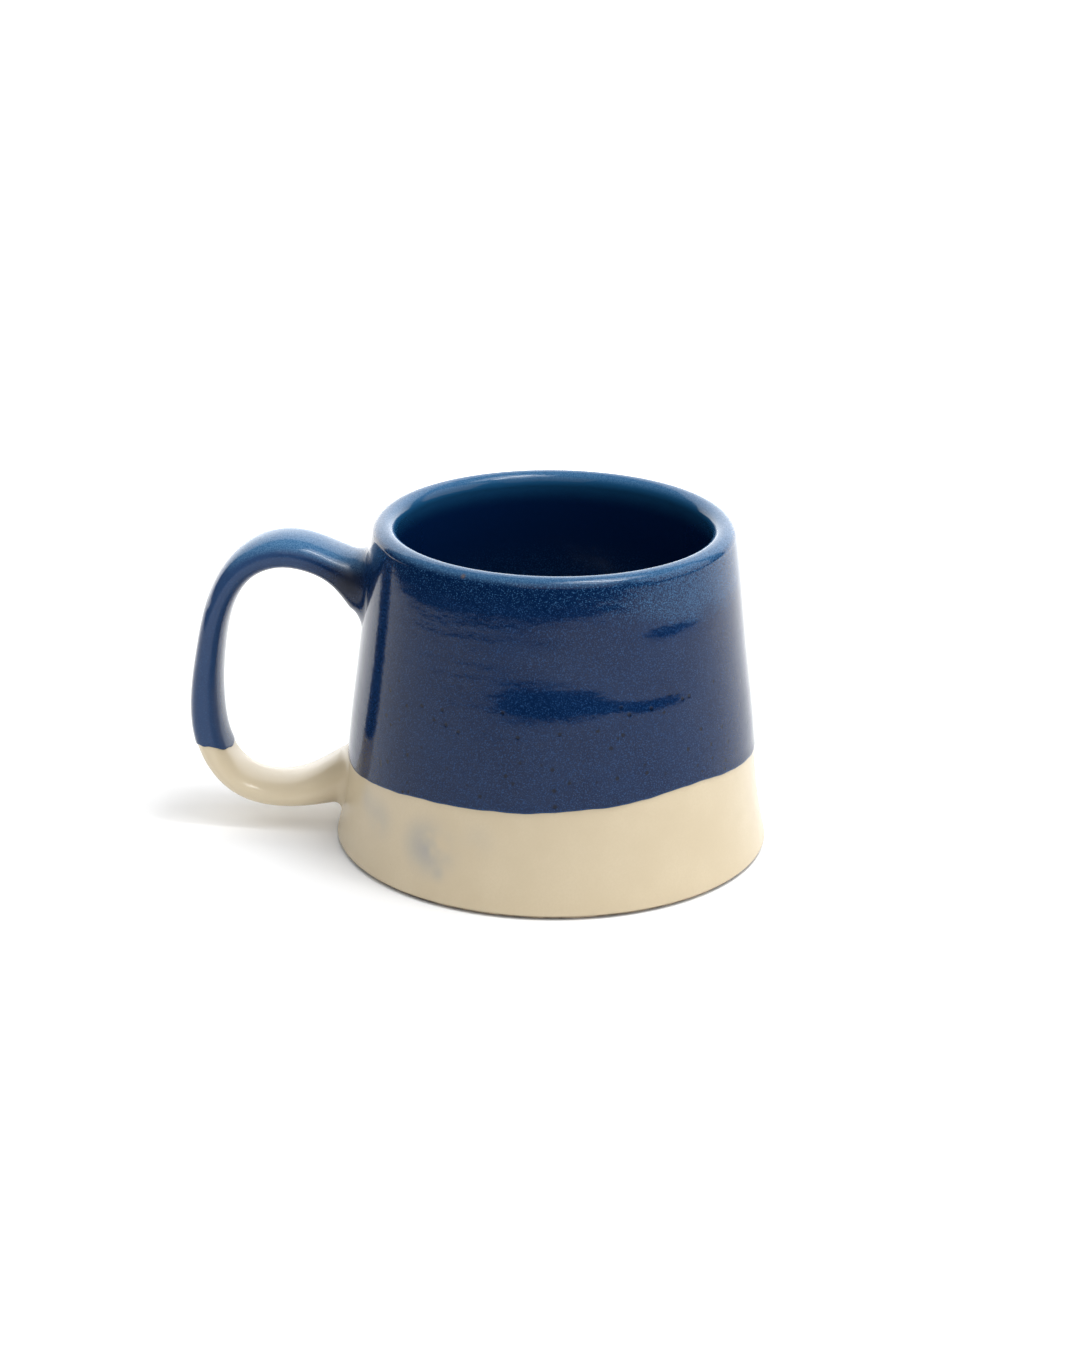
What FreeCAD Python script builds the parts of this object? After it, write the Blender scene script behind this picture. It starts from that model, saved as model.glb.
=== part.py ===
import FreeCAD, Part
import math
import os

os.makedirs("parts", exist_ok=True)

# A hand-thrown stoneware shaving mug with a pulled loop handle.
# Millimetres. +Z is up, z = 0 is the surface the foot stands on, the mug's
# axis is the Z axis, and the handle points along -X in the XZ plane.

# Driving dimensions of the pot
HEIGHT = 77.2            # foot to the top of the lip
LIP_RADIUS = 42.0        # outside of the lip
LIP_THICKNESS = 5.7      # across the rounded lip
FOOT_RADIUS = 51.0       # glazed wall just above the bare foot
WALL_LOW = 6.6           # wall thickness near the floor
FLOOR_TOP = 8.0          # inside floor, at the glaze
CORNER_RADIUS = 14.0     # inside, floor to wall
FOOT_BEVEL = 0.9         # height of the bare bevel at the foot
FOOT_BEVEL_IN = 0.7      # and how far it leans in
FOOT_RING = 6.5          # width of the ring the mug stands on
FOOT_RECESS = 1.5        # depth trimmed out inside the foot ring
DEEP_GLAZE = 0.55        # blue glaze coat
PALE_GLAZE = 0.25        # cream glaze coat

# Outside of the glazed wall from foot to lip: radius and height
LIP_CENTRE_Z = HEIGHT - LIP_THICKNESS / 2
LIP_CENTRE_R = LIP_RADIUS - LIP_THICKNESS / 2
WALL = [
    (FOOT_RADIUS, FOOT_BEVEL),
    (FOOT_RADIUS - 1.8, 10.0),
    (FOOT_RADIUS - 3.0, 20.0),
    (FOOT_RADIUS - 4.1, 32.0),
    (FOOT_RADIUS - 5.8, 46.0),
    (LIP_RADIUS + 1.7, 60.0),
    (LIP_RADIUS + 0.6, 70.0),
    (LIP_RADIUS, LIP_CENTRE_Z),
]

# Inside of the glazed wall from lip to corner: radius and height
INNER_LIP_R = LIP_CENTRE_R - LIP_THICKNESS / 2
INNER_FOOT_R = FOOT_RADIUS - 3.4 - WALL_LOW
CORNER_Z = FLOOR_TOP + CORNER_RADIUS
INNER_WALL = [
    (INNER_LIP_R, LIP_CENTRE_Z),
    (INNER_LIP_R + 0.5, 66.0),
    (INNER_LIP_R + 2.6, 48.0),
    (INNER_FOOT_R - 0.7, 34.0),
    (INNER_FOOT_R, CORNER_Z),
]

# The edge of the blue glaze on the wall: angle about Z from +X in degrees,
# and height. The mug was dipped at a slight tilt.
DIP_LINE = [
    (-150, 21.2), (-130, 23.0), (-110, 23.9), (-90, 24.4), (-75, 25.2),
    (-61, 25.8), (-50, 26.7), (-37, 26.5), (-17, 24.8), (10, 23.4),
    (50, 22.0), (95, 21.0), (140, 20.2), (175, 19.8),
]
DIP_ON_HANDLE = 19.2     # height of the same edge on the handle's limb
MID_WALL_DRAFT = 4.5     # the middle of the wall's foot, in from its outside

# Handle: distance from the mug's axis and height of its centreline, from
# the upper root round to the lower root
SPINE = [
    (43.7, 61.0), (52.4, 66.0), (62.9, 68.3), (71.5, 64.9), (77.2, 56.9),
    (80.7, 43.2), (81.9, 28.7), (79.8, 17.6), (73.6, 10.2), (62.7, 8.1),
    (48.2, 12.6),
]
# Share of the handle's length, and its clay's thickness in the plane of the
# loop and width across it: an oval strap, thinnest high on the outer limb
SECTIONS = [
    (0.00, 12.6, 17.0), (0.06, 7.6, 15.6), (0.13, 6.9, 15.0),
    (0.25, 6.3, 14.8), (0.36, 5.3, 14.6), (0.50, 5.6, 14.4),
    (0.63, 6.6, 14.6), (0.80, 5.7, 15.2), (0.90, 7.1, 16.0),
    (1.00, 11.0, 17.0),
]
STATIONS = 21            # sections in the handle's loft
ROOT_DEPTH = 4.0         # the clay runs this far past each end of the spine
WELD_REACH = 2.4         # slip-and-coil fillet, out along the handle
WELD_SPREAD = 1.9        # and out over the wall
WELD_SIDE = 0.7          # how far its middle stands off the glazed handle
WELD_LIP = 0.1           # and its thin outer edge

BEYOND = 60.0            # past the mug on any side, for cutting solids

V = FreeCAD.Vector
AXIS = V(0, 0, 1)


def curve(points):
    """A smooth edge in the XZ half-plane through (radius, height) points."""
    smooth = Part.BSplineCurve()
    smooth.interpolate([V(r, 0, z) for r, z in points])
    return smooth.toShape()


def path(*points):
    """Straight edges in the XZ half-plane through (radius, height) points."""
    return [Part.makeLine(V(a[0], 0, a[1]), V(b[0], 0, b[1]))
            for a, b in zip(points, points[1:])]


def turn(edges):
    """The solid of revolution of a closed outline."""
    return Part.Face(Part.Wire(edges)).revolve(V(0, 0, 0), AXIS, 360)


def shifted(points, by):
    return [(r + by, z) for r, z in points]


def vessel(inset):
    """The whole pot, its glazed surfaces moved into the clay by inset."""
    outer = shifted(WALL, -inset)
    inner = shifted(INNER_WALL, inset)
    lip = Part.Arc(V(outer[-1][0], 0, LIP_CENTRE_Z),
                   V(LIP_CENTRE_R, 0, HEIGHT - inset),
                   V(inner[0][0], 0, LIP_CENTRE_Z)).toShape()
    floor = FLOOR_TOP - inset
    wall_r, wall_z = inner[-1]
    inner[-1] = (wall_r, wall_z - inset)
    part_way = CORNER_RADIUS * (1 - math.sqrt(0.5))
    corner = Part.Arc(V(wall_r, 0, wall_z - inset),
                      V(wall_r - part_way, 0, floor + part_way),
                      V(wall_r - CORNER_RADIUS, 0, floor)).toShape()
    ring_out = FOOT_RADIUS - FOOT_BEVEL_IN - inset
    ring_in = FOOT_RADIUS - FOOT_BEVEL_IN - FOOT_RING
    underside = path((wall_r - CORNER_RADIUS, floor), (0, floor),
                     (0, FOOT_RECESS), (ring_in - FOOT_RECESS, FOOT_RECESS),
                     (ring_in, 0), (ring_out, 0), outer[0])
    return turn([curve(outer), lip, curve(inner), corner] + underside)


def plug(inset):
    """The pot's outside as a filled solid, to trim the handle against."""
    outer = shifted(WALL, -inset)
    rest = path(outer[-1], (0, LIP_CENTRE_Z), (0, 0), (outer[0][0], 0), outer[0])
    return turn([curve(outer)] + rest)


def above_dip():
    """Everything above the wavy edge of the blue glaze on the wall."""
    rings = []
    for radius in (LIP_CENTRE_R - LIP_THICKNESS, FOOT_RADIUS + LIP_THICKNESS):
        ring = Part.BSplineCurve()
        ring.interpolate(
            [V(radius * math.cos(math.radians(a)),
               radius * math.sin(math.radians(a)), z) for a, z in DIP_LINE],
            PeriodicFlag=True)
        rings.append(ring.toShape())
    return Part.makeRuledSurface(*rings).extrude(V(0, 0, HEIGHT))


def inner_half():
    """The space inside a surface that runs up the middle of the wall."""
    start = (FOOT_RECESS + FLOOR_TOP) / 2
    cone = Part.makeCone(FOOT_RADIUS - MID_WALL_DRAFT, LIP_CENTRE_R,
                         LIP_CENTRE_Z - start, V(0, 0, start))
    mouth = Part.makeCylinder(LIP_CENTRE_R, LIP_THICKNESS,
                              V(0, 0, LIP_CENTRE_Z))
    return cone.fuse(mouth)


spine = Part.BSplineCurve()
spine.interpolate([V(-r, 0, z) for r, z in SPINE])
spine_length = spine.length()
oval_sizes = Part.BSplineCurve()
oval_sizes.interpolate([V(spine_length * share, thick, wide)
                        for share, thick, wide in SECTIONS])


def oval_size(distance):
    """Thickness and width of the handle's clay, distance along its spine."""
    low, high = oval_sizes.FirstParameter, oval_sizes.LastParameter
    for _ in range(40):
        middle = (low + high) / 2
        if oval_sizes.value(middle).x < distance:
            low = middle
        else:
            high = middle
    point = oval_sizes.value(low)
    return point.y, point.z


def section(distance, grow):
    """An oval across the handle, distance along its spine."""
    inside = min(max(distance, 0.0), spine_length)
    parameter = spine.parameterAtDistance(inside)
    along = V(*spine.tangent(parameter)[0])
    centre = spine.value(parameter) + along * (distance - inside)
    thick, wide = oval_size(inside)
    across = V(0, 1, 0)
    oval = Part.Ellipse(
        centre + across * (wide / 2 + grow),
        centre + along.cross(across) * (thick / 2 + grow),
        centre)
    return Part.Wire(oval.toShape())


def handle(grow):
    """The whole handle, root to root, its clay grown by grow."""
    step = (spine_length + 2 * ROOT_DEPTH) / (STATIONS - 1)
    return Part.makeLoft(
        [section(step * i - ROOT_DEPTH, grow) for i in range(STATIONS)],
        True, False)


def weld(start, outward):
    """A fillet of clay round one root, from the wall out on the handle."""
    return Part.makeLoft([
        section(start - outward * ROOT_DEPTH, WELD_SPREAD),
        section(start, WELD_SPREAD),
        section(start + outward * WELD_REACH / 2, DEEP_GLAZE + WELD_SIDE),
        section(start + outward * WELD_REACH, DEEP_GLAZE + WELD_LIP),
    ], True, True)


def save(name, shape):
    """Writes the node's one solid, leaving out slivers a cut may split off."""
    solid = max(shape.Solids, key=lambda s: s.Volume)
    assert solid.isValid(), name
    assert solid.Volume > 0.999 * shape.Volume, name
    solid.exportStep("parts/%s.step" % name)
    print(name, round(solid.Volume, 1))


# Fired clay
clay = vessel(DEEP_GLAZE)
trim = plug(DEEP_GLAZE)
pulled = handle(0).cut(trim)
upper_weld = weld(0, 1).cut(trim).cut(pulled)
lower_weld = weld(spine_length, -1).cut(trim).cut(pulled)
roots = [pulled, upper_weld, lower_weld]

# Coats on the pot: the liner meets the outer coat along the top of the lip
inside = inner_half()
blue_zone = above_dip()
above_foot = Part.makeCylinder(BEYOND, HEIGHT, V(0, 0, FOOT_BEVEL))
deep_coat = vessel(0).cut(clay)
pale_coat = vessel(DEEP_GLAZE - PALE_GLAZE).cut(clay)
liner = deep_coat.common(inside)
wall_blue = deep_coat.cut(inside).common(blue_zone).cut(roots)
wall_cream = (pale_coat.cut(inside).common(above_foot)
              .cut(blue_zone).cut(roots))

# Coats on the handle
handle_top = Part.makeBox(4 * BEYOND, 2 * BEYOND, HEIGHT,
                          V(-2 * BEYOND, -BEYOND, DIP_ON_HANDLE))
beneath = [trim, wall_blue, wall_cream] + roots
handle_blue = handle(DEEP_GLAZE).cut(beneath).common(handle_top)
handle_cream = handle(PALE_GLAZE).cut(beneath).cut(handle_top)

save("thrown_body", clay)
save("pulled_handle", pulled)
save("upper_handle_weld", upper_weld)
save("lower_handle_weld", lower_weld)
save("liner_glaze", liner)
save("blue_glaze_wall", wall_blue)
save("cream_glaze_wall", wall_cream)
save("blue_glaze_handle", handle_blue)
save("cream_glaze_handle", handle_cream)
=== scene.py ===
import math

import bpy
import numpy as np
from mathutils import Matrix, Vector
from mathutils.bvhtree import BVHTree


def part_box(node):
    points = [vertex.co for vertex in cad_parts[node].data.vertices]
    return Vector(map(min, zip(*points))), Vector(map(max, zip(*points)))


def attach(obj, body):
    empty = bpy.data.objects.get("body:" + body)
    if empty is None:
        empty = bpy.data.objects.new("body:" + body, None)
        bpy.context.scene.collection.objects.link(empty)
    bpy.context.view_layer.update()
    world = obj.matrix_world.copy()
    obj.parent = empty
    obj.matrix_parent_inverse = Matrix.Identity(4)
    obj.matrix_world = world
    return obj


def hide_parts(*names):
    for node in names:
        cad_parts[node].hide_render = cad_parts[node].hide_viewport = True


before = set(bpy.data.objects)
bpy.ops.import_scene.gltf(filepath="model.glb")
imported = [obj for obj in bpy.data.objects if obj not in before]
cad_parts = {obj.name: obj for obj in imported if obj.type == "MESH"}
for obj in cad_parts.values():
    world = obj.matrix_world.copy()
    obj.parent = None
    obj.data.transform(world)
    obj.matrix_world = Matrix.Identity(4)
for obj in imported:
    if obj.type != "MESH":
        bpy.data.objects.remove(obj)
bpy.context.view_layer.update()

# Glazed stoneware shaving mug. Shapes are worked out in millimetres, in the
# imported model's frame: the mug's axis is Z, its foot is at z = 0 and its
# handle points along -X. Meshes are made in metres.
MM = 0.001
TAU = 2 * math.pi

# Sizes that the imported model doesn't state by itself
DEEP_GLAZE = 0.55          # blue coat
PALE_GLAZE = 0.25          # cream coat
CORNER_RADIUS = 14.0       # inside, floor to wall
FOOT_RING = 6.5            # width of the ring that the mug stands on
FOOT_BEVEL = 0.9           # height of the bare bevel
FOOT_BEVEL_IN = 0.7        # and how far it leans in
FOOT_RECESS = 1.5          # depth of the trimmed recess

# The blue glaze's lower edge: angle about Z from +X in degrees, and height
DIP_LINE = [
    (-150, 21.2), (-130, 23.0), (-110, 23.9), (-90, 24.4), (-75, 25.2),
    (-61, 25.8), (-50, 26.7), (-37, 26.5), (-17, 24.8), (10, 23.4),
    (50, 22.0), (95, 21.0), (140, 20.2), (175, 19.8),
]
DIP_ON_HANDLE = 19.2
# Waves in that edge round the wall and the handle: turns, size and phase
WALL_RUNS = [(17, 0.06, 0.4), (29, 0.05, 2.0), (53, 0.03, 1.1)]
HANDLE_RUNS = [(1, 1.4, 2.55), (3, 0.3, 0.5), (7, 0.12, 2.2), (11, 0.06, 0.3)]

# The handle's centreline, as distance from the axis and height, and its
# clay's thickness and width at shares of its length
SPINE = [
    (43.7, 61.0), (52.4, 66.0), (62.9, 68.3), (71.5, 64.9), (77.2, 56.9),
    (80.7, 43.2), (81.9, 28.7), (79.8, 17.6), (73.6, 10.2), (62.7, 8.1),
    (48.2, 12.6),
]
SECTIONS = [
    (0.00, 12.6, 17.0), (0.06, 7.6, 15.6), (0.13, 6.9, 15.0),
    (0.25, 6.3, 14.8), (0.36, 5.3, 14.6), (0.50, 5.6, 14.4),
    (0.63, 6.6, 14.6), (0.80, 5.7, 15.2), (0.90, 7.1, 16.0),
    (1.00, 11.0, 17.0),
]
ROOT_DEPTH = 4.0           # the spine runs on this far inside the wall
OVAL_POWER = 2.3           # above 2 the section is squarer than an ellipse
UPPER_FILLET = (3.8, 1.0)  # at the root: middle size, and more on the outside
LOWER_FILLET = (2.4, 0.2)
FILLET_SINK = 0.02         # a fillet's edge lies this little under the wall
FILLET_SEARCH = 14.0       # a fillet ends within this much of the handle's end

# The blue coat's rolled lower edge
ROLL = 0.35                # height of the roll
BEAD = 0.07                # how far it stands proud of the wall
BEAD_FADE = 1.1            # height in which the bead dies out
TUCK = 0.03                # how far it turns in behind the cream coat's face
LAP_ON_WALL = 0.6          # the cream coat runs on this far behind the blue
LAP_ON_HANDLE = 0.8

# Two fine lines scored along the lip: angles up and over it from outside
SCORED_AT = (1.30, 1.54)   # radians
SCORED_WIDTH = 0.05        # radians
SCORED_DEPTH = 0.024
SCORED_FRONT = -80         # degrees, the middle of the side that has them

BELOW_LIP = 3.0            # the walls are fitted up to this far under the top
CLAY_UP = 0.5              # bare clay carried up behind the cream coat
CREAM_END = 0.25           # height of the cream coat's rounded thin end
MIDDLE = 0.8               # radius of the last ring on the floor and the foot
EASE = 0.35                # room for the bevel to round into the foot ring
STEP_EASE = 0.3            # and for the ring to round into the recess
TOOL_MARKS = [(0.05, 2.6), (0.03, 7)]    # on the foot: depth, distance apart
SWIRL, SWIRL_APART = 0.12, 9             # the spiral on the inside floor

# Mesh fineness: points round, and rows along each run
AROUND_POT = 540
AROUND_HANDLE = 96
ROLL_ROWS = 6
WALL_ROWS = 118
LIP_ROWS = 61
INSIDE_ROWS = 72
CORNER_ROWS = 22
FLOOR_ROWS = 22
CREAM_ROWS = 70
CREAM_END_ROWS = 4
BEVEL_ROWS = 8
RING_ROWS = 12
FOOT_ROWS = 80
FILLET_ROWS = 11
BLUE_LIMB_ROWS = 170
CREAM_LIMB_ROWS = 110
SPINE_STEPS = 800
HALVINGS = 36              # steps in solving for a place on the handle


# ---------------------------------------------------------------- curves

def smooth_curve(x, y):
    """A natural cubic spline y(x). y may hold several columns."""
    x = np.asarray(x, float)
    y = np.asarray(y, float).reshape(len(x), -1)
    n = len(x)
    h = np.diff(x)
    a = np.zeros((n, n))
    b = np.zeros_like(y)
    a[0, 0] = a[-1, -1] = 1
    for i in range(1, n - 1):
        a[i, i - 1:i + 2] = h[i - 1], 2 * (h[i - 1] + h[i]), h[i]
        b[i] = 6 * ((y[i + 1] - y[i]) / h[i] - (y[i] - y[i - 1]) / h[i - 1])
    m = np.linalg.solve(a, b)

    def at(value):
        v = np.asarray(value, float)
        k = np.clip(np.searchsorted(x, v, side="right") - 1, 0, n - 2)
        t = (v - x[k])[..., None]
        w = h[k][..., None]
        s = (y[k + 1] - y[k]) / w - w * (2 * m[k] + m[k + 1]) / 6
        return y[k] + t * (s + t * (m[k] / 2 + t * (m[k + 1] - m[k]) / (6 * w)))
    return at


def step(low, high, value):
    t = np.clip((value - low) / (high - low), 0, 1)
    return t * t * (3 - 2 * t)


def wave(angle, terms):
    """A sum of (turns, size, phase) waves round the mug or handle."""
    return sum(size * np.sin(turns * angle + phase)
               for turns, size, phase in terms)


# ---------------------------------------------------- the pot's outline

def surface(node):
    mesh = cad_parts[node].data
    return BVHTree.FromPolygons([v.co for v in mesh.vertices],
                                [p.vertices for p in mesh.polygons])


def cast(tree, origin, direction):
    """Where a ray in the plane x = 0 meets a surface, in millimetres."""
    start = Vector((0, origin[0], origin[1])) * MM
    hit = tree.ray_cast(start, Vector((0, *direction)))[0]
    return None if hit is None else (hit.y / MM, hit.z / MM)


def fitted(points, degree):
    r, z = np.array(points).T
    return np.polynomial.Polynomial.fit(z, r, degree)


LINER = surface("liner_glaze")
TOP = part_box("liner_glaze")[1][2] / MM
FLOOR = cast(LINER, (0, TOP), (0, -1))[1]
FOOT_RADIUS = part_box("cream_glaze_wall")[1][1] / MM + DEEP_GLAZE - PALE_GLAZE


def outside_points():
    blue, cream = surface("blue_glaze_wall"), surface("cream_glaze_wall")
    points = []
    for z in np.linspace(FOOT_BEVEL + 0.1, TOP - BELOW_LIP, 90):
        far = (2 * FOOT_RADIUS, z)
        hit = cast(blue, far, (-1, 0))
        if hit is None or hit[0] < 0:
            r, z = cast(cream, far, (-1, 0))
            hit = (r + DEEP_GLAZE - PALE_GLAZE, z)
        points.append(hit)
    return points


outside_fit = fitted(outside_points(), 7)
inside_fit = fitted([cast(LINER, (0, z), (1, 0))
                     for z in np.linspace(FLOOR + CORNER_RADIUS,
                                          TOP - BELOW_LIP, 60)], 5)
lip_outside, lip_inside = outside_fit(TOP - BELOW_LIP), inside_fit(TOP - BELOW_LIP)
LIP_HALF = (lip_outside - lip_inside) / 2
LIP_R = (lip_outside + lip_inside) / 2
LIP_Z = TOP - LIP_HALF
LEAN = math.atan(-outside_fit.deriv()(LIP_Z))    # the walls lean in this much


def outside(z):
    """Radius of the glazed outside at a height, over the lip included."""
    z = np.asarray(z, float)
    wall = outside_fit(np.minimum(z, LIP_Z))
    rise = np.clip(z - LIP_Z, 0, LIP_HALF)
    return wall - LIP_HALF + np.sqrt(LIP_HALF ** 2 - rise ** 2)


dip_knots = ([(a - 360, z) for a, z in DIP_LINE] + DIP_LINE
             + [(a + 360, z) for a, z in DIP_LINE])
dip_curve = smooth_curve(*np.array(dip_knots).T)


def dip(angle):
    """Height of the blue glaze's edge on the wall, with its small runs."""
    degrees = np.degrees(np.arctan2(np.sin(angle), np.cos(angle)))
    return dip_curve(degrees)[..., 0] + wave(angle, WALL_RUNS)


# Places where the thrown wall leans in a little more: angle in degrees,
# height, half width in degrees, half height, and strength in mm
LEANS = [(-83, 49.6, 17, 5.2, 0.40), (-52, 47.4, 12, 2.3, 0.24),
         (-66, 48.4, 7, 2.0, 0.06), (-44, 63.3, 15, 3.1, 0.30),
         (-84, 62.6, 8, 1.4, 0.04), (55, 47, 34, 5.0, 0.16),
         (150, 52, 28, 4.0, 0.12)]


def thrown(angle, z):
    """Small swells that the potter's fingers left in the outside, in mm."""
    rings = 0.006 * np.sin(TAU * z / 7.3 + 0.9 * np.sin(angle + 0.6))
    fine_rings = 0.003 * np.sin(TAU * z / 3.1 + 1.3 * np.sin(2 * angle))
    out_of_round = 0.020 * np.sin(2 * angle + 0.24 * z + 0.7)
    swell = rings + fine_rings + out_of_round
    for middle, height, half, tall, depth in LEANS:
        turn = angle - math.radians(middle)
        across = np.degrees(np.arctan2(np.sin(turn), np.cos(turn))) / half
        u = (z - height) / tall
        swell = swell - depth * u * np.exp(-u * u / 2 - across ** 4)
    return swell * step(4, 14, z) * (1 - step(TOP - 6, TOP - 2, z))


# ------------------------------------------------------------ the handle

spine_points = np.array([(-r, z) for r, z in SPINE])
chord = np.concatenate([[0], np.cumsum(
    np.linalg.norm(np.diff(spine_points, axis=0), axis=1))])
spine_curve = smooth_curve(chord, spine_points)
fine = np.linspace(0, chord[-1], SPINE_STEPS)
run = np.concatenate([[0], np.cumsum(
    np.linalg.norm(np.diff(spine_curve(fine), axis=0), axis=1))])
HANDLE_LENGTH = run[-1]
oval_curve = smooth_curve([s * HANDLE_LENGTH for s, _, _ in SECTIONS],
                          [(thick, wide) for _, thick, wide in SECTIONS])


def handle_point(s, phi, grow):
    """A point on the handle: distance along, angle round (0 outwards, 90
    degrees towards +Y), and how far it stands off the clay."""
    inside_s = np.clip(s, 0, HANDLE_LENGTH)
    u = np.interp(inside_s, run, fine)
    centre = spine_curve(u)
    along = spine_curve(np.minimum(u + 0.05, fine[-1])) \
        - spine_curve(np.maximum(u - 0.05, 0))
    along /= np.linalg.norm(along, axis=-1, keepdims=True)
    centre = centre + along * (s - inside_s)[..., None]
    outward = np.stack([along[..., 1], -along[..., 0]], -1)
    thick, wide = np.moveaxis(oval_curve(inside_s), -1, 0)
    c, d = np.cos(phi), np.sin(phi)
    soften = (np.abs(c) ** OVAL_POWER + np.abs(d) ** OVAL_POWER) ** (-1 / OVAL_POWER)
    out = (thick / 2 + grow) * c * soften
    side = (wide / 2 + grow) * d * soften
    return np.stack([centre[..., 0] + outward[..., 0] * out, side,
                     centre[..., 1] + outward[..., 1] * out], -1)


def wall_gap(point):
    """How far a point stands off the pot's glazed outside."""
    r = np.hypot(point[..., 0], point[..., 1])
    angle = np.arctan2(point[..., 1], point[..., 0])
    z = point[..., 2]
    pale = (DEEP_GLAZE - PALE_GLAZE) * (1 - step(-0.5, 0.5, z - dip(angle)))
    return r - outside(z) + pale


def find(test, low, high):
    """Solves test(s) = 0 for each entry, where test rises from low to high."""
    for _ in range(HALVINGS):
        middle = (low + high) / 2
        below = test(middle) < 0
        low = np.where(below, middle, low)
        high = np.where(below, high, middle)
    return (low + high) / 2


def root_rows(phi, from_end, grow, radius):
    """Rows of a fillet from the pot's wall up on to the handle, and the
    distance along the handle at which it ends for each angle round."""
    rows = []
    for beta in np.linspace(math.pi / 2, 0, FILLET_ROWS):
        gap = radius * (1 - math.sin(beta)) - FILLET_SINK * math.sin(beta)
        out = grow + radius * (1 - math.cos(beta))

        def place(t):
            s = t if from_end == 0 else HANDLE_LENGTH - t
            return handle_point(s, phi, out)
        t = find(lambda t: wall_gap(place(t)) - gap,
                 np.full_like(phi, -3 * ROOT_DEPTH),
                 np.full_like(phi, FILLET_SEARCH))
        rows.append(place(t))
    return rows, t


# ---------------------------------------------------------------- meshes

def mesh_piece(name, rows, nodes, slot, close_end=False, flip=False, **marks):
    """A closed-round grid of rows as a piece that replaces CAD nodes. marks
    are named values per vertex, in millimetres, for the material."""
    grid = np.array(rows)
    count, around = grid.shape[:2]
    points = grid.reshape(-1, 3) * MM
    i = np.arange(count - 1)[:, None] * around
    j = np.arange(around)[None, :]
    k = (j + 1) % around
    quads = np.stack([i + j, i + k, i + k + around, i + j + around], -1)
    faces = quads.reshape(-1, 4).tolist()
    if close_end:
        last = (count - 1) * around
        centre = len(points)
        points = np.vstack([points, points[last:].mean(axis=0)])
        faces += [(last + a, last + (a + 1) % around, centre)
                  for a in range(around)]
    if flip:
        faces = [f[::-1] for f in faces]
    mesh = bpy.data.meshes.new(name)
    mesh.from_pydata(points.tolist(), [], faces)
    mesh.shade_smooth()
    for mark, values in marks.items():
        flat = np.array(values, float).ravel()
        flat = np.append(flat, np.full(len(points) - len(flat), flat[-1]))
        layer = mesh.attributes.new(mark, "FLOAT", "POINT")
        layer.data.foreach_set("value", flat.astype(np.float32))
    piece = bpy.data.objects.new(name, mesh)
    bpy.context.scene.collection.objects.link(piece)
    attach(piece, "root")
    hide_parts(*nodes)
    return piece


pot_angles = np.linspace(0, TAU, AROUND_POT, endpoint=False)


def scored(angle, over):
    """Two fine lines scored along the lip's inner edge, in mm. over is the
    angle up and over the lip from its outside."""
    drift = 0.02 * np.sin(3 * angle)
    lines = sum(np.exp(-((over - at - drift) / SCORED_WIDTH) ** 2)
                for at in SCORED_AT)
    front = np.cos(angle - math.radians(SCORED_FRONT))
    return SCORED_DEPTH * lines * step(0.1, 0.7, front)


def around_pot(r, z):
    """One ring of the pot from a radius and height at each angle."""
    r = np.broadcast_to(r, pot_angles.shape)
    z = np.broadcast_to(z, pot_angles.shape)
    return np.stack([r * np.cos(pot_angles), r * np.sin(pot_angles), z], -1)


def blue_pot():
    """The blue coat: its rolled edge, the wall, the lip and the inside."""
    edge = dip(pot_angles)
    rows, above = [], []

    def ring(r, z):
        rows.append(around_pot(r, z))
        above.append(np.broadcast_to(z, pot_angles.shape) - edge)

    step_out = DEEP_GLAZE - PALE_GLAZE
    for t in np.linspace(0, math.pi / 2, ROLL_ROWS):
        z = edge + ROLL * (1 - math.cos(t))
        r = outside(z) + thrown(pot_angles, z)
        ring(r - step_out - TUCK + (step_out + TUCK + BEAD) * math.sin(t), z)
    lip_start = LIP_Z + LIP_HALF * math.sin(LEAN)
    start = edge + ROLL
    for share in np.linspace(0, 1, WALL_ROWS)[1:]:
        z = start + (lip_start - start) * share
        bulge = BEAD * np.exp(-((z - start) / BEAD_FADE) ** 2)
        ring(outside_fit(z) + thrown(pot_angles, z) + bulge, z)
    slip_out = outside_fit(lip_start) - LIP_R - LIP_HALF * math.cos(LEAN)
    lip_end = LIP_Z - LIP_HALF * math.sin(LEAN)
    slip_in = inside_fit(lip_end) - LIP_R + LIP_HALF * math.cos(LEAN)
    for share in np.linspace(0, 1, LIP_ROWS)[1:]:
        a = LEAN + math.pi * share
        half = LIP_HALF - scored(pot_angles, a)
        slip = slip_out + (slip_in - slip_out) * share
        ring(LIP_R + slip + half * math.cos(a), LIP_Z + half * math.sin(a))
    corner_z = FLOOR + CORNER_RADIUS
    for z in np.linspace(lip_end, corner_z, INSIDE_ROWS)[1:]:
        ring(inside_fit(z), z)
    corner_r = inside_fit(corner_z) - CORNER_RADIUS
    for a in np.linspace(0, math.pi / 2, CORNER_ROWS)[1:]:
        ring(corner_r + CORNER_RADIUS * math.cos(a),
             corner_z - CORNER_RADIUS * math.sin(a))
    for r in np.linspace(corner_r, MIDDLE, FLOOR_ROWS)[1:]:
        swirl = SWIRL * np.sin(TAU * r / SWIRL_APART + pot_angles) * step(1, 6, r)
        ring(r, FLOOR + swirl * (1 - step(corner_r - 4, corner_r, r)))
    return mesh_piece("glaze_blue_pot", rows, ["blue_glaze_wall", "liner_glaze"],
                      "blue_glaze", close_end=True, above_edge=above)


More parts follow.
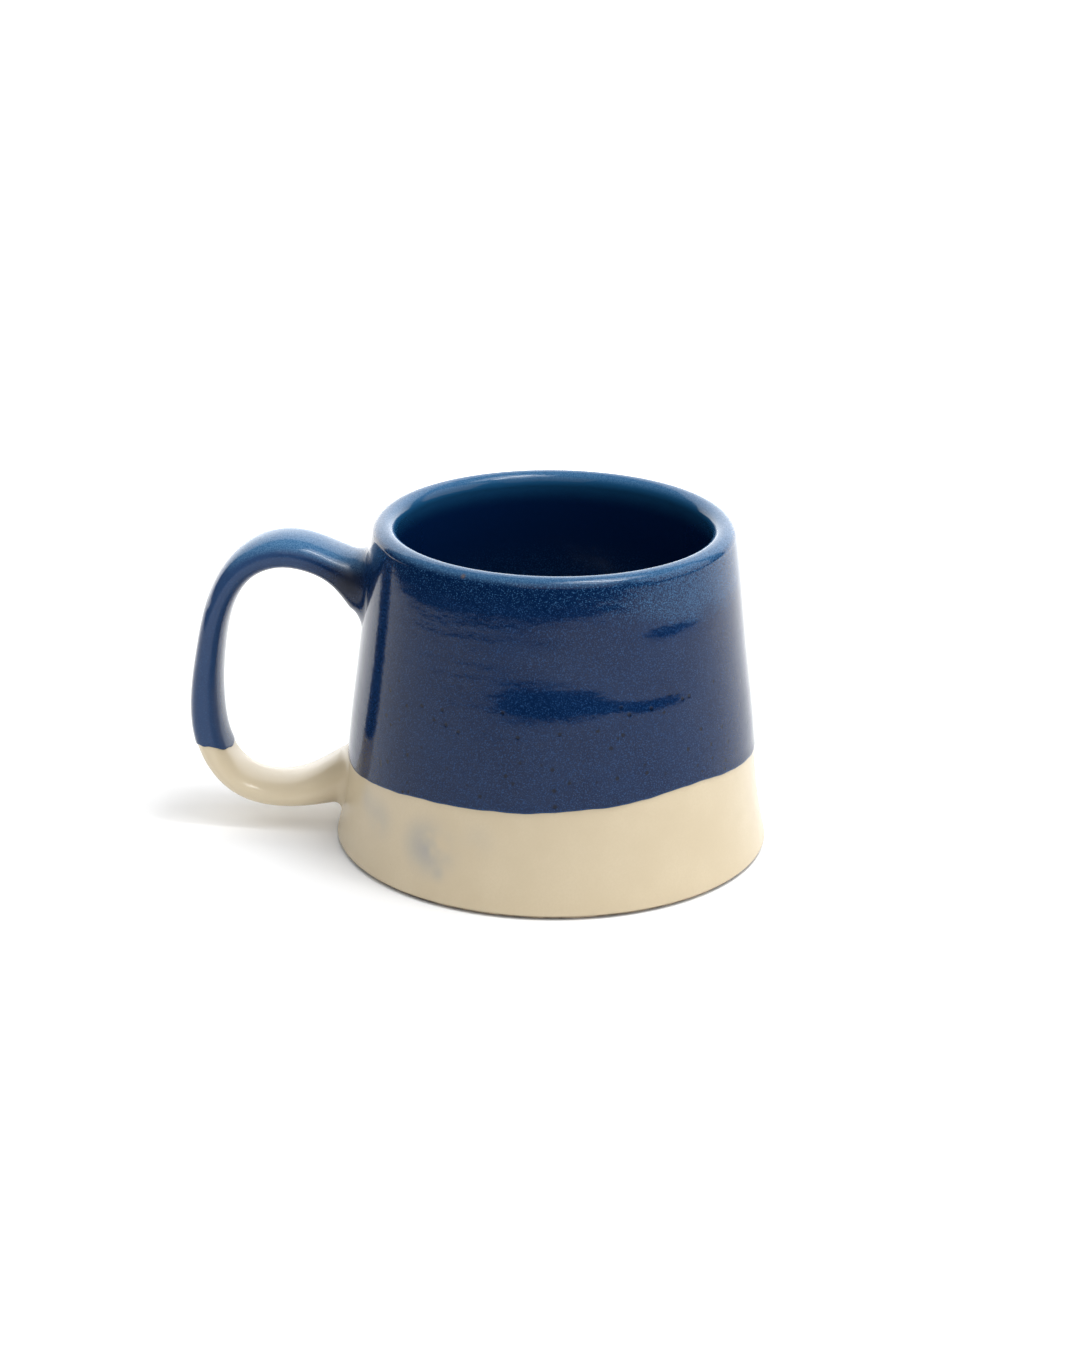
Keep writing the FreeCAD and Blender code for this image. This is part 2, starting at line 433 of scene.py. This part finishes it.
def cream_wall():
    """The pale coat, from just under the blue edge to its own thin end."""
    thinner = DEEP_GLAZE - PALE_GLAZE
    low = FOOT_BEVEL + CREAM_END
    edge = dip(pot_angles) + LAP_ON_WALL
    rows = []
    for t in np.linspace(math.pi / 2, 0.2, CREAM_END_ROWS)[::-1]:
        r = outside(FOOT_BEVEL) - thinner - CREAM_END * math.cos(t)
        rows.append(around_pot(r, low - CREAM_END * math.sin(t)))
    for share in np.linspace(0, 1, CREAM_ROWS):
        z = low + (edge - FOOT_BEVEL - CREAM_END) * share
        rows.append(around_pot(outside(z) + thrown(pot_angles, z) - thinner, z))
    return mesh_piece("glaze_cream_wall", rows, ["cream_glaze_wall"],
                      "cream_glaze")


def foot():
    """The bare clay that shows: bevel, standing ring and trimmed recess."""
    ring_out = FOOT_RADIUS - FOOT_BEVEL_IN
    ring_in = ring_out - FOOT_RING
    bevel_in = ring_out - DEEP_GLAZE - EASE
    recess_r = ring_in - FOOT_RECESS - 2 * STEP_EASE
    top = outside(FOOT_BEVEL) - DEEP_GLAZE
    outline = [(top, FOOT_BEVEL + CLAY_UP), (top, FOOT_BEVEL)]
    for t in np.linspace(0.15, 1, BEVEL_ROWS):
        outline.append((top + (bevel_in - top) * t ** 2,
                        FOOT_BEVEL * (1 - t) ** 1.2))
    for r in np.linspace(bevel_in - EASE, ring_in + STEP_EASE, RING_ROWS):
        outline.append((r, 0.0))
    for t in np.linspace(0, 1, BEVEL_ROWS):
        outline.append((ring_in - FOOT_RECESS * t,
                        FOOT_RECESS * float(step(0, 1, t))))
    for r in np.linspace(recess_r, MIDDLE, FOOT_ROWS):
        tool = sum(depth * math.sin(TAU * r / apart)
                   for depth, apart in TOOL_MARKS)
        outline.append((r, FOOT_RECESS + tool))
    rows = [around_pot(r, z) for r, z in outline]
    return mesh_piece("foot_clay", rows, ["thrown_body"], "stoneware",
                      close_end=True, flip=True)


handle_angles = np.linspace(0, TAU, AROUND_HANDLE, endpoint=False)


def handle_edge(grow):
    """How far along the handle its blue coat ends, at each angle round."""
    height = DIP_ON_HANDLE + wave(handle_angles, HANDLE_RUNS)
    low = np.full_like(handle_angles, 0.40 * HANDLE_LENGTH)
    high = np.full_like(handle_angles, 0.80 * HANDLE_LENGTH)
    return find(lambda s: height - handle_point(s, handle_angles, grow)[..., 2],
                low, high)


def blue_handle():
    """The blue coat on the upper root and the limb, with its rolled edge."""
    fillet = UPPER_FILLET[0] + UPPER_FILLET[1] * np.cos(handle_angles)
    rows, start = root_rows(handle_angles, 0, DEEP_GLAZE, fillet)
    end = handle_edge(DEEP_GLAZE)
    for share in np.linspace(0, 1, BLUE_LIMB_ROWS)[1:]:
        rows.append(handle_point(start + (end - ROLL - start) * share,
                                 handle_angles, DEEP_GLAZE))
    thinner = DEEP_GLAZE - PALE_GLAZE
    for t in np.linspace(0, math.pi / 2, ROLL_ROWS)[1:]:
        drop = (thinner + TUCK) * (1 - math.cos(t))
        rows.append(handle_point(end - ROLL * (1 - math.sin(t)),
                                 handle_angles, DEEP_GLAZE - drop))
    above = [np.linalg.norm(row - rows[-1], axis=-1) for row in rows]
    return mesh_piece("glaze_blue_handle", rows,
                      ["blue_glaze_handle", "upper_handle_weld", "pulled_handle"],
                      "blue_glaze", above_edge=above)


def cream_handle():
    """The pale coat on the lower limb, down to the lower root."""
    fillet = LOWER_FILLET[0] + LOWER_FILLET[1] * np.cos(handle_angles)
    rows, back = root_rows(handle_angles, 1, PALE_GLAZE, fillet)
    start = HANDLE_LENGTH - back
    end = handle_edge(PALE_GLAZE) - LAP_ON_HANDLE
    for share in np.linspace(0, 1, CREAM_LIMB_ROWS)[1:]:
        rows.append(handle_point(start + (end - start) * share,
                                 handle_angles, PALE_GLAZE))
    return mesh_piece("glaze_cream_handle", rows,
                      ["cream_glaze_handle", "lower_handle_weld"],
                      "cream_glaze", flip=True)


def on_pot(degrees, z):
    """A point on the pot's outside, in mm."""
    angle, r = math.radians(degrees), float(outside(z))
    return (r * math.cos(angle), r * math.sin(angle), z)


# ------------------------------------------------------------- materials

class Nodes:
    """Short names for building a material's nodes."""

    def __init__(self, name, **shader_values):
        self.material = bpy.data.materials.new(name)
        self.material.use_nodes = True
        self.tree = self.material.node_tree
        self.shader = self.tree.nodes["Principled BSDF"]
        for socket, value in shader_values.items():
            self.shader.inputs[socket.replace("_", " ")].default_value = value

    def add(self, kind, **values):
        node = self.tree.nodes.new(kind)
        for key, value in values.items():
            setattr(node, key, value)
        return node

    def link(self, source, target):
        self.tree.links.new(source, target)

    def put(self, value, socket):
        """Sets or links an input."""
        if isinstance(value, bpy.types.NodeSocket):
            self.link(value, socket)
        else:
            socket.default_value = value

    def place(self, stretch=(1, 1, 1)):
        coords = self.add("ShaderNodeTexCoord").outputs["Object"]
        if stretch == (1, 1, 1):
            return coords
        node = self.add("ShaderNodeMapping")
        node.inputs["Scale"].default_value = stretch
        self.link(coords, node.inputs["Vector"])
        return node.outputs["Vector"]

    def noise(self, size_mm, detail=2.0, rough=0.5, stretch=(1, 1, 1)):
        node = self.add("ShaderNodeTexNoise")
        node.inputs["Scale"].default_value = 1 / (size_mm * MM)
        node.inputs["Detail"].default_value = detail
        node.inputs["Roughness"].default_value = rough
        self.link(self.place(stretch), node.inputs["Vector"])
        return node.outputs["Fac"]

    def spots(self, apart_mm, small, large, channel, above):
        """Scattered round spots, apart_mm from each other, in the cells
        whose random colour channel is above a share."""
        node = self.add("ShaderNodeTexVoronoi")
        node.inputs["Scale"].default_value = 1 / (apart_mm * MM)
        self.link(self.place(), node.inputs["Vector"])
        chance = self.add("ShaderNodeSeparateColor")
        self.link(node.outputs["Color"], chance.inputs[0])
        chosen = self.math("GREATER_THAN", chance.outputs[channel], above)
        spot = self.band(node.outputs["Distance"], small, large, 1.0, 0.0)
        return self.math("MULTIPLY", spot, chosen)

    def math(self, operation, *values):
        node = self.add("ShaderNodeMath", operation=operation)
        for value, socket in zip(values, node.inputs):
            self.put(value, socket)
        return node.outputs[0]

    def band(self, value, low, high, out_low=0.0, out_high=1.0):
        node = self.add("ShaderNodeMapRange", interpolation_type="SMOOTHSTEP")
        for item, socket in zip((value, low, high, out_low, out_high),
                                node.inputs):
            self.put(item, socket)
        return node.outputs[0]

    def mix(self, factor, a, b):
        node = self.add("ShaderNodeMix", data_type="RGBA")
        self.put(factor, node.inputs["Factor"])
        for item, socket in ((a, node.inputs[6]), (b, node.inputs[7])):
            self.put((*item, 1) if isinstance(item, tuple) else item, socket)
        return node.outputs[2]

    def mark(self, name):
        node = self.add("ShaderNodeAttribute", attribute_name=name)
        return node.outputs["Fac"]

    def axes(self, kind="Object"):
        """X, Y and Z of the place, or of the surface's direction."""
        split = self.add("ShaderNodeSeparateXYZ")
        self.link(self.add("ShaderNodeTexCoord").outputs[kind],
                  split.inputs[0])
        return split.outputs

    def height(self):
        """Height above the foot and distance from the axis, in mm."""
        x, y, z = self.axes()
        radius = self.math("SQRT", self.math(
            "ADD", self.math("MULTIPLY", x, x), self.math("MULTIPLY", y, y)))
        return (self.math("DIVIDE", z, MM), self.math("DIVIDE", radius, MM))

    def near(self, point, radius_mm):
        """1 at a point given in mm, falling to 0 at a distance."""
        node = self.add("ShaderNodeVectorMath", operation="DISTANCE")
        self.link(self.place(), node.inputs[0])
        node.inputs[1].default_value = [c * MM for c in point]
        return self.band(node.outputs["Value"], 0.0, radius_mm * MM, 1.0, 0.0)

    def bump(self, height, depth_mm, onto=None):
        node = self.add("ShaderNodeBump")
        node.inputs["Strength"].default_value = 1.0
        node.inputs["Distance"].default_value = depth_mm * MM
        self.link(height, node.inputs["Height"])
        if onto is not None:
            self.link(onto, node.inputs["Normal"])
        return node.outputs["Normal"]

    def set(self, socket, value):
        self.put((*value, 1) if isinstance(value, tuple) else value,
                 self.shader.inputs[socket])


# Blue glaze, linear colours
BLUE_DEEP = (0.0020, 0.0140, 0.054)
BLUE_INK = (0.0010, 0.0100, 0.043)
BLUE_SPECK = (0.013, 0.048, 0.138)
BLUE_ON_HANDLE = (0.036, 0.078, 0.180)
# Top band outside: a darker ground that is partly painted shade, and specks that are
# partly painted highlight
BLUE_TOP_DARK_AND_SHADE = (0.0010, 0.0110, 0.047)
BLUE_TOP_SPECK_AND_HIGHLIGHT = (0.032, 0.106, 0.230)
# Painted light: a paler band just inside the lip
BLUE_LIT_UNDER_LIP = (0.008, 0.062, 0.150)
# Painted shade: the darker inside of the mug
BLUE_INSIDE_SHADE = (0.0007, 0.0105, 0.050)
# Lip crest and handle top: the glaze's break, and partly painted reflection
BLUE_LIP_BREAK_AND_SHEEN = (0.034, 0.104, 0.222)
BLUE_LIP_SPECK_AND_SHEEN = (0.080, 0.184, 0.322)
BLUE_RIM = (0.022, 0.070, 0.170)
PIT_DARK = (0.001, 0.003, 0.010)
# Painted shade in the crook of the upper root
CROOK_SHADE = (0.008, 0.010, 0.020)
RUST = (0.15, 0.09, 0.035)
# Painted shade for a nick at the back of the lip
NICK_SHADE = (0.004, 0.014, 0.035)

# Places on the blue coat: mm, or degrees about Z and height, and a radius
CROOK, CROOK_SIZE = (-46.5, -7.5, 63), 8.5
FLECK, FLECK_SIZE = (-114, 76.2), 0.9
NICK, NICK_SIZE = (112, 76.9), 1.6


def top_of_wall(n, body, z, r, flow, grain):
    """The top few millimetres outside: the thinner glaze's livelier specks on a
    darker ground, which is partly painted shade for the dark band under the lip. On
    the side away from the handle the specks are paler and reach further down, partly
    a painted highlight on the side that the right panel lights. Inside the lip a
    paler band that fades downwards is painted light, and the inside below it is
    darkened as painted shade."""
    ragged = n.math("ADD", z, n.math("MULTIPLY", flow, 7.0))
    # On the +X side, away from the handle, the specks are paler and reach further
    # down: partly the glaze's own, partly a painted highlight where the right panel
    # lights the mug
    thin = n.band(n.axes()[0], 0.006, 0.036)
    reach = n.math("ADD", ragged, n.math("MULTIPLY", thin, 7.0))
    upper = n.math("MULTIPLY", n.band(reach, TOP - 5, TOP + 1),
                   n.band(r, LIP_R - 1.0, LIP_R + 0.8))
    specks_from = n.math("SUBTRACT", 0.54, n.math("MULTIPLY", thin, 0.17))
    # The darker ground is partly painted shade for the dark band under the lip; the
    # specks are the glaze's own, partly painted highlight
    lively_and_painted_light = n.mix(n.band(grain, specks_from, 0.70), BLUE_TOP_DARK_AND_SHADE, BLUE_TOP_SPECK_AND_HIGHLIGHT)
    body = n.mix(upper, body, lively_and_painted_light)

    # Painted light: a paler band just inside the lip, fading downwards, for the
    # highlight and the light that falls off into the mug
    under = n.math("MULTIPLY", n.band(ragged, TOP - 12, TOP + 2),
                   n.band(r, LIP_R + 0.5, LIP_R - 1.5))
    body = n.mix(under, body, BLUE_LIT_UNDER_LIP)
    # Painted shade: the inside below the lip is darkened
    within = n.math("MULTIPLY", n.band(r, LIP_R - 0.5, LIP_R - 2.0),
                    n.band(z, TOP - 1, TOP - 8))
    return n.mix(within, body, BLUE_INSIDE_SHADE)


def crests(n, body, z, r, cloud, grain):
    """The glaze breaks paler on the lip's crest and on top of the handle. This
    paleness on upward-facing surfaces is partly the glaze's own break and partly
    a painted reflection of the light from above.
    """
    up = n.axes("Normal")[2]
    high = n.band(n.math("ADD", z, n.math("MULTIPLY", cloud, 6)), 62, 70)
    crest = n.math("MULTIPLY", n.band(up, 0.30, 0.92), high)
    crest = n.math("MULTIPLY", crest, n.band(r, 44, 50, 0.72, 1.0))
    # Paler colour on upward-facing surfaces: partly the glaze's break, partly a
    # painted reflection of the light from above
    pale = n.mix(n.band(grain, 0.36, 0.64), BLUE_LIP_BREAK_AND_SHEEN, BLUE_LIP_SPECK_AND_SHEEN)
    return n.mix(crest, body, pale)


def firing_marks_and_nick_shade(n, body):
    """The bright rim where the coat ends, a rust fleck on the front of the lip,
    and a dark spot at its back that is painted shade for a nick."""
    rim = n.band(n.mark("above_edge"), 0.15, 0.6, 1.0, 0.0)
    body = n.mix(n.math("MULTIPLY", rim, 0.5), body, BLUE_RIM)
    rust = n.math("MULTIPLY", n.near(on_pot(*FLECK), FLECK_SIZE), 0.6)
    body = n.mix(rust, body, RUST)
    # Painted shade: a dark spot where the back of the lip has a nick
    return n.mix(n.near(on_pot(*NICK), NICK_SIZE), body, NICK_SHADE)


def blue_glaze():
    n = Nodes("blue_glaze", IOR=1.33)
    z, r = n.height()
    cloud = n.noise(9, 3, 0.55)
    flow = n.noise(5, 3, 0.6, stretch=(1, 1, 2.4))
    grain = n.noise(0.30, 2, 0.6)
    fine_grain = n.noise(0.26, 1, 0.5)

    body = n.mix(n.band(cloud, 0.25, 0.75), BLUE_INK, BLUE_DEEP)
    body = n.mix(n.band(grain, 0.48, 0.72), body, BLUE_SPECK)
    limb = n.math("MULTIPLY", n.band(r, 50, 62), 0.6)
    body = n.mix(limb, body, BLUE_ON_HANDLE)
    body = top_of_wall(n, body, z, r, flow, grain)
    body = crests(n, body, z, r, cloud, grain)

    # Dark pits low on the wall
    low = n.math("MULTIPLY", n.band(z, 53, 46), n.band(r, 56, 53))
    pit = n.math("MULTIPLY", n.spots(2.8, 0.10, 0.25, channel=0, above=0.3), low)
    body = n.mix(n.math("MULTIPLY", pit, 0.85), body, PIT_DARK)

    # Painted shade: the coat is darkened in the crook of the upper root, and the
    # same mask makes it rougher there
    crook_shade = n.math("MULTIPLY", n.near(CROOK, CROOK_SIZE), 0.95)
    body = n.mix(crook_shade, body, CROOK_SHADE)
    body = firing_marks_and_nick_shade(n, body)

    n.set("Base Color", body)
    n.set("Roughness", n.math("ADD", n.band(grain, 0.3, 0.7, 0.07, 0.13),
                               n.math("MULTIPLY", crook_shade, 0.3)))
    ripple = n.bump(n.noise(1.5, 2, 0.5, stretch=(1, 1, 1.5)), 0.014)
    wavy = n.bump(n.noise(5, 3, 0.55, stretch=(1, 1, 1.8)), 0.040, ripple)
    n.set("Normal", n.bump(pit, -0.015, n.bump(fine_grain, 0.0036, wavy)))
    return n.material


# Cream glaze, linear colours
CREAM_DARK = (0.532, 0.444, 0.302)
CREAM_LIGHT = (0.562, 0.474, 0.329)
CREAM_GRAIN = (0.517, 0.430, 0.296)
CREAM_ON_HANDLE = (0.665, 0.570, 0.405)
SMUDGE_GREY = (0.25, 0.27, 0.29)
CREAM_FLECK = (0.22, 0.17, 0.12)

# Blue-grey smudges under the pale glaze: degrees, height, radius, strength
SMUDGES = [(-140, 14.7, 7.5, 0.32), (-119, 12.7, 10.0, 0.58),
           (-123, 13.0, 8.0, 0.22), (-116, 7.0, 2.6, 0.35),
           (-148, 17.0, 6.0, 0.25), (-105, 17.0, 6.0, 0.12)]


def cream_glaze():
    n = Nodes("cream_glaze", IOR=1.45)
    r = n.height()[1]
    cloud = n.noise(12, 3, 0.5)
    grain = n.noise(0.5, 2, 0.6)
    base = n.mix(n.band(cloud, 0.3, 0.7), CREAM_DARK, CREAM_LIGHT)
    base = n.mix(n.band(grain, 0.3, 0.7, 0.0, 0.4), base, CREAM_GRAIN)
    limb = n.math("MULTIPLY", n.band(r, 51, 60), 0.85)
    base = n.mix(limb, base, CREAM_ON_HANDLE)
    for degrees, z, size, share in SMUDGES:
        blur = n.math("MULTIPLY", n.near(on_pot(degrees, z), size), share)
        blur = n.math("MULTIPLY", blur, n.band(cloud, 0.30, 0.60))
        base = n.mix(blur, base, SMUDGE_GREY)
    fleck = n.spots(4.5, 0.03, 0.06, channel=1, above=0.8)
    base = n.mix(n.math("MULTIPLY", fleck, 0.6), base, CREAM_FLECK)
    n.set("Base Color", base)
    n.set("Roughness", n.band(grain, 0.2, 0.8, 0.21, 0.25))
    n.set("Normal", n.bump(n.noise(9.0, 1, 0.4), 0.010))
    return n.material


# Bare clay, linear colours
CLAY_DARK = (0.36, 0.285, 0.20)
CLAY_LIGHT = (0.45, 0.365, 0.265)
CLAY_GRAIN = (0.24, 0.18, 0.12)
# Painted shade: the darker ring on the foot's down-facing bevel
CLAY_BEVEL_SHADE = (0.15, 0.12, 0.085)


def stoneware():
    n = Nodes("stoneware", IOR=1.5)
    r = n.height()[1]
    grain = n.noise(0.45, 3, 0.7)
    cloud = n.noise(8, 3, 0.5)
    base = n.mix(n.band(cloud, 0.3, 0.7), CLAY_DARK, CLAY_LIGHT)
    base = n.mix(n.band(grain, 0.45, 0.75), base, CLAY_GRAIN)
    # Painted shade: darker towards the foot's outer edge, on the bevel that faces
    # down
    bevel = n.band(r, FOOT_RADIUS - 2.5, FOOT_RADIUS - 1.2)
    base = n.mix(n.math("MULTIPLY", bevel, n.band(cloud, 0.35, 0.6)), base,
                 CLAY_BEVEL_SHADE)
    n.set("Base Color", base)
    n.set("Roughness", n.band(grain, 0.3, 0.7, 0.72, 0.9))
    n.set("Normal", n.bump(grain, 0.06))
    return n.material


GROUND_WHITE = (0.875, 0.880, 0.885)
GROUND_SHADE = (0.50, 0.52, 0.56)
GROUND_SHADE_AT = (-120, -440, 0)  # mm, the middle of the painted shade on the ground
GROUND_SHADE_REACH = 270           # mm
GLOW_REACH = 420           # mm from the mug, over which the glow changes
GLOW_BEHIND = 0.45         # more glow behind the mug


def paper(glow_near, glow_far):
    """White ground that glows a little more away from the mug, which is painted
    light, and is darkened with painted shade a good way in front of it, where it
    shows only in the glaze."""
    n = Nodes("white_ground", Roughness=0.9)
    # Painted shade on the ground, a good way in front of the mug
    grey = n.near(GROUND_SHADE_AT, GROUND_SHADE_REACH)
    n.set("Base Color", n.mix(grey, GROUND_WHITE, GROUND_SHADE))
    n.shader.inputs["Specular IOR Level"].default_value = 0.0
    # Painted light: the ground glows, more away from the mug and behind it
    n.set("Emission Color", (1.0, 1.0, 1.0))
    near = n.near((0, 0, 0), GLOW_REACH)
    behind = n.band(n.math("DIVIDE", n.axes()[1], MM), 20, 250, 0.0, GLOW_BEHIND)
    n.set("Emission Strength", n.math(
        "ADD", n.band(near, 0.0, 0.8, glow_far, glow_near), behind))
    return n.material


# ------------------------------------------------------ stage and camera

VIEW_AZIMUTH = 5.0         # degrees, the handle turned a little away
VIEW_ELEVATION = 20.96
VIEW_DISTANCE = 749.6
VIEW_TARGET = (-2.97, -0.26, 39.3)
VIEW_ROLL = 0.0096         # radians
LENS = 85.5


def camera():
    a, e = math.radians(VIEW_AZIMUTH), math.radians(VIEW_ELEVATION)
    back = Vector((math.sin(a) * math.cos(e), -math.cos(a) * math.cos(e),
                   math.sin(e)))
    right = Vector((math.cos(a), math.sin(a), 0))
    up = back.cross(right)
    turned = Matrix.Rotation(VIEW_ROLL, 3, back)
    axes = Matrix((turned @ right, turned @ up, back)).transposed()
    data = bpy.data.cameras.new("camera")
    data.lens = LENS
    data.sensor_width = 36
    data.sensor_fit = "AUTO"
    data.clip_start = 0.01
    data.clip_end = 50
    eye = bpy.data.objects.new("camera", data)
    eye.matrix_world = Matrix.Translation(
        (Vector(VIEW_TARGET) + back * VIEW_DISTANCE) * MM) @ axes.to_4x4()
    bpy.context.scene.collection.objects.link(eye)
    bpy.context.scene.camera = eye


def seen(x, y, z):
    """A place given as the camera sees it: right, away and up."""
    return Matrix.Rotation(math.radians(VIEW_AZIMUTH), 3, "Z") @ Vector((x, y, z))


def sheet(name, corners, material, glossy=True):
    """A flat piece of ground or backdrop, in metres."""
    mesh = bpy.data.meshes.new(name)
    mesh.from_pydata([seen(*corner) for corner in corners], [],
                     [tuple(range(len(corners)))])
    mesh.materials.append(material)
    piece = bpy.data.objects.new(name, mesh)
    piece.visible_glossy = glossy
    bpy.context.scene.collection.objects.link(piece)


def lamp(name, direction, distance, size, power):
    """A soft light at a distance from the mug, aimed at it, in metres."""
    data = bpy.data.lights.new(name, "AREA")
    data.shape = "RECTANGLE"
    data.size, data.size_y = size
    data.energy = power
    light = bpy.data.objects.new(name, data)
    aim = seen(*direction).normalized()
    light.location = Vector((0, 0, LAMP_AIM)) + aim * distance
    light.rotation_euler = aim.to_track_quat("Z", "Y").to_euler()
    light.visible_camera = False
    bpy.context.scene.collection.objects.link(light)


# Metres, as the camera sees them. The white paper that the glaze mirrors is
# cut away at its front left corner.
PAPER = [(-0.37, 0.25), (-0.37, -0.20), (-0.26, -0.42), (0.0, -0.57),
         (0.15, -0.66), (0.9, -0.66), (0.9, 0.25)]
BEHIND = 0.25              # where the brighter ground starts
BACKDROP = 1.6             # how far back the backdrop stands
WIDE = 2.0                 # half its width, and its height
PAPER_Z = -0.00006         # the ground lies this little under the foot
SKY = 0.54                 # strength of the even light from all round
LAMP_AIM = 0.04            # the lamps point at this height on the axis

# Name, direction as the camera sees it, distance, size and power
LAMPS = [
    ("overhead", (0.284, -0.127, 0.95), 1.0, (0.60, 0.46), 4.6),
    ("overhead_strip", (0.284, -0.127, 0.95), 0.95, (0.10, 0.40), 2.0),
    ("front_softbox", (0.1, -0.7, 0.7), 1.2, (1.3, 1.0), 3.6),
    ("right_panel", (1.0, -0.05, 0.50), 1.5, (1.4, 1.1), 8.0),
]


def studio():
    scene = bpy.context.scene
    world = bpy.data.worlds.new("studio")
    world.use_nodes = True
    sky = world.node_tree.nodes["Background"]
    sky.inputs["Color"].default_value = (1, 1, 1, 1)
    sky.inputs["Strength"].default_value = SKY
    world.cycles_visibility.glossy = False
    scene.world = world
    white = paper(0.0, 0.10)
    bright = paper(0.3, 0.8)
    far = 3 * WIDE
    sheet("floor", [(-far, -far, 2 * PAPER_Z), (far, -far, 2 * PAPER_Z),
                    (far, far, 2 * PAPER_Z), (-far, far, 2 * PAPER_Z)],
          white, glossy=False)
    sheet("paper", [(x, y, PAPER_Z) for x, y in PAPER], white)
    sheet("floor_behind", [(-WIDE, BEHIND, PAPER_Z), (WIDE, BEHIND, PAPER_Z),
                           (WIDE, BACKDROP, PAPER_Z),
                           (-WIDE, BACKDROP, PAPER_Z)], bright)
    sheet("backdrop", [(-WIDE, BACKDROP, 0), (WIDE, BACKDROP, 0),
                       (WIDE, BACKDROP, WIDE), (-WIDE, BACKDROP, WIDE)], bright)
    for values in LAMPS:
        lamp(*values)
    scene.view_settings.view_transform = "Standard"
    scene.view_settings.look = "None"


camera()
studio()
blue, cream, clay = blue_glaze(), cream_glaze(), stoneware()
for piece, material in ((blue_pot(), blue), (cream_wall(), cream),
                        (foot(), clay), (blue_handle(), blue),
                        (cream_handle(), cream)):
    piece.data.materials.append(material)
